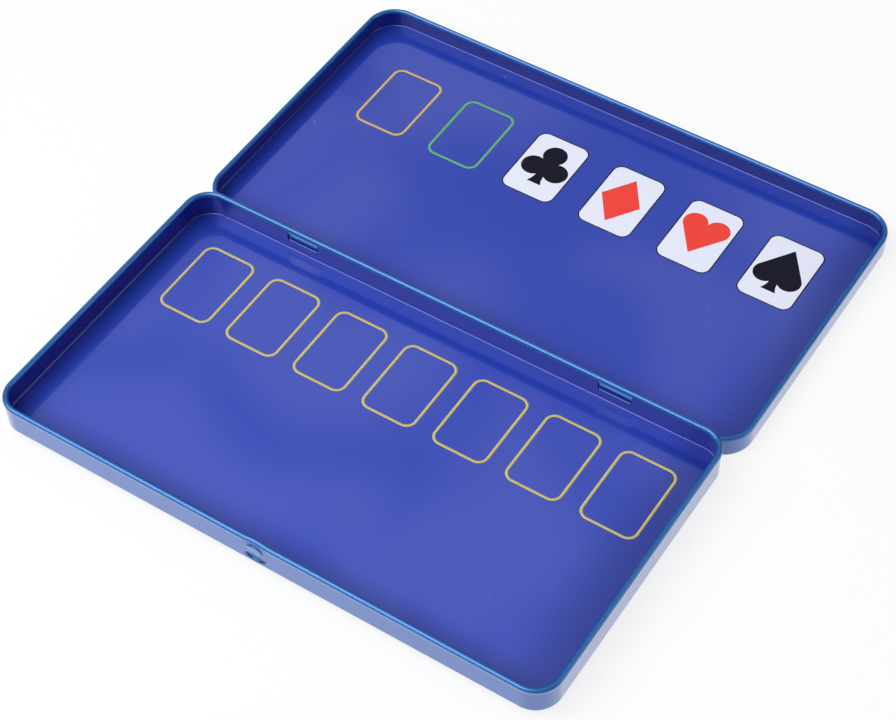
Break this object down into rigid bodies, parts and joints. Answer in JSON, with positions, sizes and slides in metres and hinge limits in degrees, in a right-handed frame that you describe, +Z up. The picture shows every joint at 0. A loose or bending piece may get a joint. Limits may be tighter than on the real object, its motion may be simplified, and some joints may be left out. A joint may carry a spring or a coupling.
{
  "type": "hinged card game tin",
  "caption": "Flat pressed tinplate card game tin: a base tray and a lid tray joined by hooks cut from the base's wall round the lid's rolled rim, with a snap pip.",
  "frame": {"origin": "centre of the open tin's outline, on the surface it lies on", "axes": "+X along the hinge, +Y from the base tray to the open lid tray, +Z up"},
  "size_m": [0.1936, 0.2102, 0.0128],
  "materials": {
    "base_lacquer": "gloss blue lacquer on tinplate",
    "lid_lacquer": "gloss blue lacquer on tinplate"
  },
  "bodies": {
    "base": {"base_tray": "base_lacquer"},
    "lid": {"lid_tray": "lid_lacquer"}
  },
  "joints": [
    {"name": "lid_hinge", "type": "hinge", "parent": "base", "child": "lid", "pos_m": [0, -0.00072, 0.0071], "axis": [1, 0, 0], "range_deg": [0, 180]}
  ]
}
